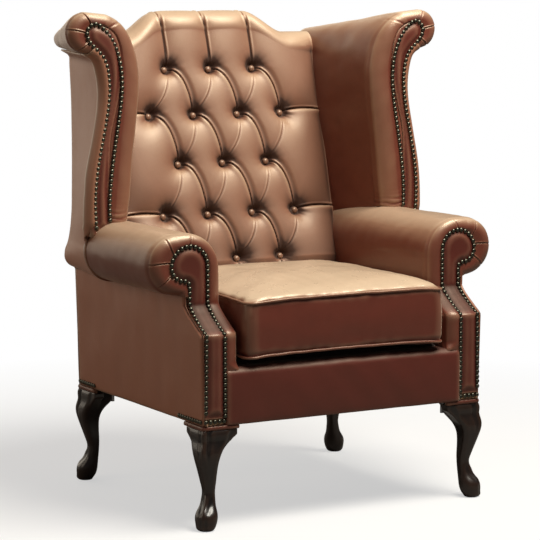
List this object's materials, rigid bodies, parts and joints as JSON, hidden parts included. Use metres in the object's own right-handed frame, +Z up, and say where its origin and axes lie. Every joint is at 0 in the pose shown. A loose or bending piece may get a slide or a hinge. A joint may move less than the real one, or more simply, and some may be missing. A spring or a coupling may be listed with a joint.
{
  "type": "wingback armchair",
  "caption": "Deep-buttoned leather wing armchair with scrolled arms and wings, a loose piped seat cushion, rows of dome nails and dark carved cabriole legs.",
  "frame": {"origin": "on the floor, under the middle of the chair's bounding box", "axes": "+X to the right as seen from the front, +Y to the chair's rear (the chair faces -Y), +Z up"},
  "size_m": [0.9378, 0.7274, 1.0662],
  "materials": {
    "arm_and_wing_leather": "aged, hand-finished, soft sheen",
    "back_leather": "aged, hand-finished, soft sheen",
    "cushion_leather": "aged, hand-finished, soft sheen",
    "piping_leather": "aged, hand-finished, soft sheen",
    "facing_leather": "aged, hand-finished, soft sheen",
    "button_leather": "aged, hand-finished, soft sheen",
    "ebonised_wood": "dark stain under gloss lacquer",
    "frame_wood": "planed",
    "antique_nail": "antiqued dark bronze",
    "spring_steel": "drawn wire",
    "bolt_steel": "zinc plated",
    "webbing_cloth": "woven elastic strap",
    "lining_cloth": "thin black lining",
    "deck_cloth": "woven sacking",
    "wadding": "foam and wadding",
    "platform_cloth": "dark woven cover over padding"
  },
  "bodies": {
    "chair": {"arm_facing_left": "facing_leather", "arm_facing_right": "facing_leather", "arm_nails_left": "antique_nail", "arm_nails_right": "antique_nail", "arm_post_left": "frame_wood", "arm_post_right": "frame_wood", "arm_rail_left": "frame_wood", "arm_rail_right": "frame_wood", "back_buttons": "button_leather", "back_post_left": "frame_wood", "back_post_right": "frame_wood", "back_webbing": "webbing_cloth", "base_nails_left": "antique_nail", "base_nails_right": "antique_nail", "corner_blocks": "frame_wood", "crest_rail": "frame_wood", "deck_cloth": "deck_cloth", "deck_padding": "platform_cloth", "dust_cover": "lining_cloth", "front_border": "facing_leather", "front_leg_left": "ebonised_wood", "front_leg_right": "ebonised_wood", "front_rail": "frame_wood", "inside_arm_left": "arm_and_wing_leather", "inside_arm_right": "arm_and_wing_leather", "inside_back": "back_leather", "inside_wing_left": "arm_and_wing_leather", "inside_wing_right": "arm_and_wing_leather", "leg_bolts": "bolt_steel", "leg_welts": "piping_leather", "lower_back_rail": "frame_wood", "outside_arm_left": "arm_and_wing_leather", "outside_arm_right": "arm_and_wing_leather", "outside_back": "arm_and_wing_leather", "outside_wing_left": "arm_and_wing_leather", "outside_wing_right": "arm_and_wing_leather", "rear_leg_left": "ebonised_wood", "rear_leg_right": "ebonised_wood", "rear_rail": "frame_wood", "seat_springs": "spring_steel", "side_rail_left": "frame_wood", "side_rail_right": "frame_wood", "spring_clips": "bolt_steel", "wing_board_left": "frame_wood", "wing_board_right": "frame_wood", "wing_facing_left": "facing_leather", "wing_facing_right": "facing_leather", "wing_nails_left": "antique_nail", "wing_nails_right": "antique_nail", "wing_rail_left": "frame_wood", "wing_rail_right": "frame_wood"},
    "cushion": {"cushion_core": "wadding", "cushion_cover": "cushion_leather", "piping_bottom": "piping_leather", "piping_top": "piping_leather"}
  },
  "joints": [
    {"name": "cushion_lift", "type": "slide", "parent": "chair", "child": "cushion", "axis": [0, 0, 1], "range_m": [0, 0.75]}
  ]
}
